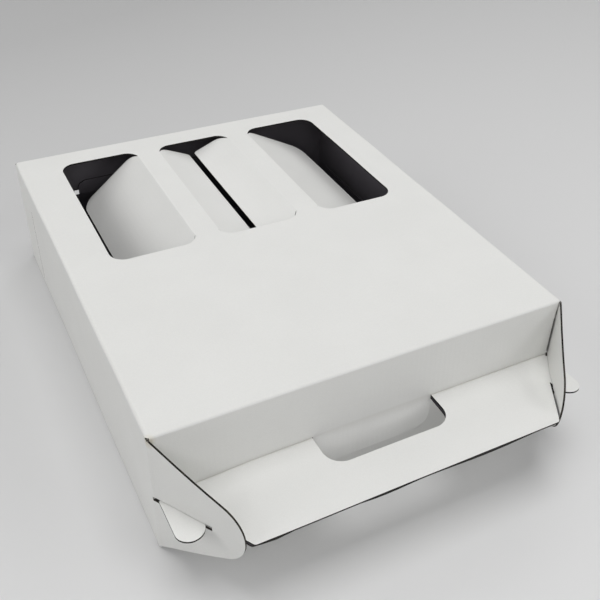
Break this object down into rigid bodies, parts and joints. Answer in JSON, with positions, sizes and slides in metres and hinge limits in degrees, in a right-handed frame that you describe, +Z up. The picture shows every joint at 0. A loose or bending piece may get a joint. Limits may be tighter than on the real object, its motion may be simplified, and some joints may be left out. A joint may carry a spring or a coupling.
{
  "type": "bottle shipping box",
  "caption": "Folded white board carrier for wine bottles, with flapped windows, a recessed carry handle locked by slotted ears, and a snap-lock closed end.",
  "frame": {"origin": "middle of the back panel's outer face, which the box lies on", "axes": "+Z up out of the windowed front panel, +Y from the handle end to the closed end, +X across the bottles"},
  "size_m": [0.258, 0.3566, 0.085],
  "materials": {
    "white_board": "matt white outside, black inside"
  },
  "bodies": {
    "carton": {"carton": "white_board"},
    "window_flap_left": {"window_flap_left": "white_board"},
    "window_flap_middle_left": {"window_flap_middle_left": "white_board"},
    "window_flap_middle_right": {"window_flap_middle_right": "white_board"},
    "window_flap_right": {"window_flap_right": "white_board"},
    "ear_left": {"ear_left": "white_board"},
    "ear_right": {"ear_right": "white_board"}
  },
  "joints": [
    {"name": "left_window_fold", "type": "hinge", "parent": "carton", "child": "window_flap_left", "pos_m": [-0.0436, 0.06445, 0.08445], "axis": [0, -1, 0], "range_deg": [-39, 51]},
    {"name": "middle_window_left_fold", "type": "hinge", "parent": "carton", "child": "window_flap_middle_left", "pos_m": [-0.0271, 0.06445, 0.08445], "axis": [0, 1, 0], "range_deg": [-23.5, 66.5]},
    {"name": "middle_window_right_fold", "type": "hinge", "parent": "carton", "child": "window_flap_middle_right", "pos_m": [0.0299, 0.06445, 0.08445], "axis": [0, -1, 0], "range_deg": [-21.5, 68.5]},
    {"name": "right_window_fold", "type": "hinge", "parent": "carton", "child": "window_flap_right", "pos_m": [0.0464, 0.06445, 0.08445], "axis": [0, 1, 0], "range_deg": [-27.3, 62.7]},
    {"name": "left_ear_fold", "type": "hinge", "parent": "carton", "child": "ear_left", "pos_m": [-0.12845, -0.151, 0.0425], "axis": [0, 0, -1], "range_deg": [0, 100]},
    {"name": "right_ear_fold", "type": "hinge", "parent": "carton", "child": "ear_right", "pos_m": [0.12845, -0.151, 0.0425], "axis": [0, 0, 1], "range_deg": [0, 100]}
  ]
}
